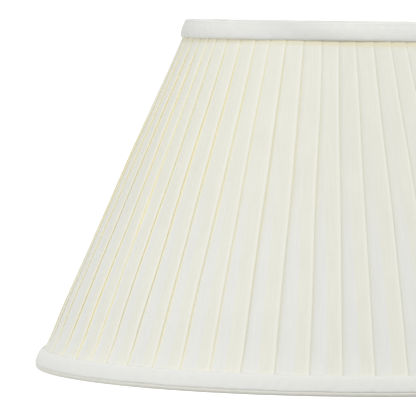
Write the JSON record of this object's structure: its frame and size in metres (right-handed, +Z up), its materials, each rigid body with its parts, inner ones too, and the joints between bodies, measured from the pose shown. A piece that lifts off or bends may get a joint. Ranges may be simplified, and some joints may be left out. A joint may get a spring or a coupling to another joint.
{
  "type": "lamp shade",
  "caption": "Pleated empire lamp shade: knife-pleated cloth cone over a lined wire frame, ribbon bands at both rims, spider fitter inside the top.",
  "frame": {"origin": "centre of the bottom rim, on the surface that the shade stands on", "axes": "+Z up along the cone's axis, towards the small rim; +X to the right as seen from the front, -Y towards the viewer"},
  "size_m": [0.4052, 0.4052, 0.245],
  "materials": {
    "frame_paint": "white powder coat, satin",
    "pleat_cloth": "ivory woven cloth with a fine slub, knife pleated",
    "lining_cloth": "off-white smooth lining, stretched",
    "trim_ribbon": "off-white bias ribbon, soft sheen",
    "binding_tape": "off-white woven tape, matt"
  },
  "bodies": {
    "root": {"top_ring": "frame_paint", "bottom_ring": "frame_paint", "rib_1": "frame_paint", "rib_2": "frame_paint", "rib_3": "frame_paint", "rib_4": "frame_paint", "rib_5": "frame_paint", "rib_6": "frame_paint", "rib_7": "frame_paint", "rib_8": "frame_paint", "spider_washer": "frame_paint", "spider_arm_1": "frame_paint", "spider_arm_2": "frame_paint", "spider_arm_3": "frame_paint", "arm_sleeve_1": "binding_tape", "arm_sleeve_2": "binding_tape", "arm_sleeve_3": "binding_tape", "top_ring_binding": "trim_ribbon", "bottom_ring_binding": "trim_ribbon", "pleated_cover": "pleat_cloth", "lining": "lining_cloth", "top_inner_tape": "binding_tape", "bottom_inner_tape": "binding_tape", "top_trim_band": "trim_ribbon", "bottom_trim_band": "trim_ribbon"}
  },
  "joints": []
}
